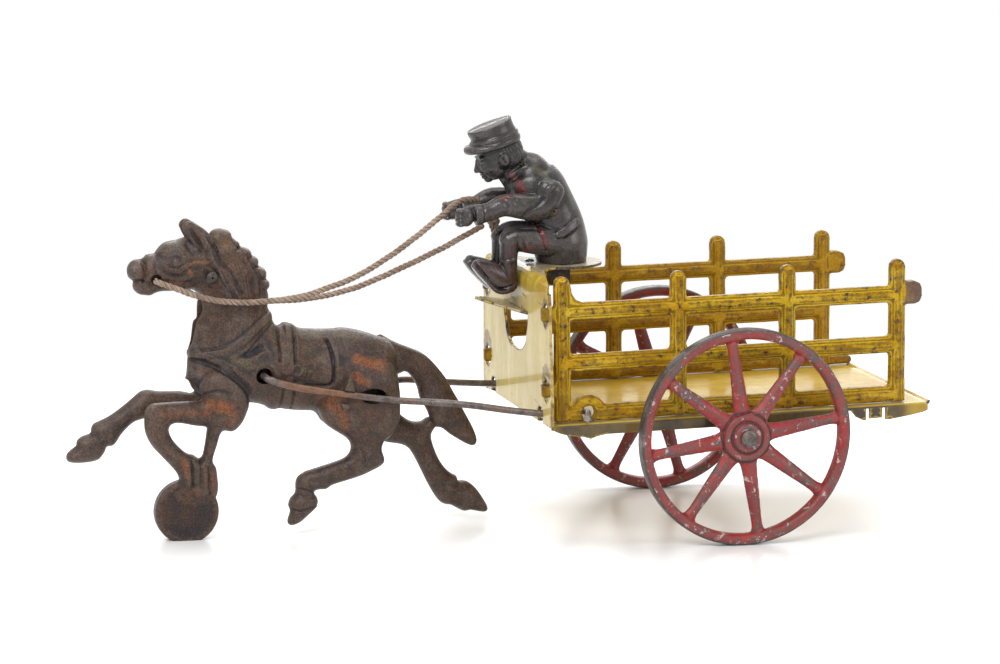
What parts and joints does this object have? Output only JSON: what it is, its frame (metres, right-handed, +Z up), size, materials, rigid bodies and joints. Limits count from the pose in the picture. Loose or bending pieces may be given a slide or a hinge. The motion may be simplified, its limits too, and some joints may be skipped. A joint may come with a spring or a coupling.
{
  "type": "horse-drawn stake wagon toy",
  "caption": "Cast galloping horse drawing a sheet metal stake wagon with open slatted side racks, spoked wheels, a seated driver and string reins.",
  "frame": {"origin": "centre of the bounding box on the ground plane that the wheels and the horse's foot disc stand on", "axes": "+Z up, -X forward to the horse, -Y the toy's left side"},
  "size_m": [0.2909, 0.1106, 0.1416],
  "materials": {
    "horse_iron": "dark brown iron with orange rust, satin",
    "driver_iron": "dark grey iron with traces of red-brown, satin",
    "rack_paint": "worn ochre yellow paint over cast iron",
    "bed_paint": "glossy yellow paint over sheet steel",
    "wheel_paint": "worn dull red paint, bare dark tread and hub ring",
    "steel": "dark oxidised steel",
    "peg_iron": "matt black iron",
    "solder": "dull silver solder",
    "string": "brown twisted string"
  },
  "bodies": {
    "wagon": {"wagon_bed": "bed_paint", "left_rack": "rack_paint", "right_rack": "rack_paint", "axle": "steel", "left_shaft": "steel", "right_shaft": "steel", "driver_left_half": "driver_iron", "driver_right_half": "driver_iron", "driver_rivet": "steel", "seat_peg": "peg_iron", "seat_solder": "solder", "left_rein": "string", "right_rein": "string", "rein_knot": "string"},
    "left_wheel": {"left_wheel": "wheel_paint"},
    "right_wheel": {"right_wheel": "wheel_paint"},
    "horse": {"horse_left_half": "horse_iron", "horse_right_half": "horse_iron", "horse_neck_rivet": "steel"}
  },
  "joints": [
    {"name": "left_wheel_spin", "type": "hinge", "parent": "wagon", "child": "left_wheel", "pos_m": [0.0756, 0, 0.037], "axis": [0, 1, 0], "continuous": true},
    {"name": "right_wheel_spin", "type": "hinge", "parent": "wagon", "child": "right_wheel", "pos_m": [0.0756, 0, 0.037], "axis": [0, 1, 0], "continuous": true},
    {"name": "horse_rock", "type": "hinge", "parent": "wagon", "child": "horse", "pos_m": [-0.0815, 0, 0.0557], "axis": [0, 1, 0], "range_deg": [-3.5, 0], "deforming": ["left_rein", "right_rein"]}
  ]
}
